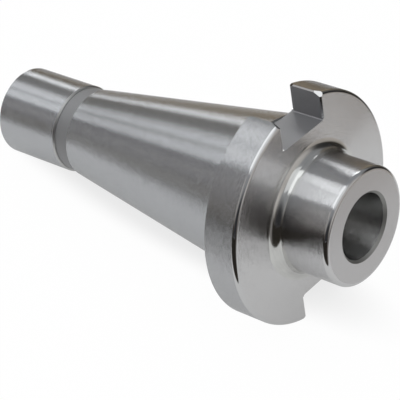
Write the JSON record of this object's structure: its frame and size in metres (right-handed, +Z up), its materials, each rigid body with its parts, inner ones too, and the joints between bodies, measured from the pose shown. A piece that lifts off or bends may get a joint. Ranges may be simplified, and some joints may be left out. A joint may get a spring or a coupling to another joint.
{
  "type": "reducing sleeve",
  "caption": "Steep taper shank with a slotted drive flange and a short nose whose self-holding taper socket takes a smaller tool shank; bored and threaded for a drawbar.",
  "frame": {"origin": "on the floor, under the middle of the sleeve's box as it lies on its lower slot edges and its pilot", "axes": "+X is level and points to the nose's side, +Z is up; the tool's axis lies in the XZ plane and rises 10.69 degrees towards the nose"},
  "size_m": [0.124, 0.063, 0.0615],
  "materials": {
    "steel": "bare hardened steel, ground on the shank and socket, fine-turned on the flange"
  },
  "bodies": {
    "root": {"reducing_sleeve": "steel"}
  },
  "joints": []
}
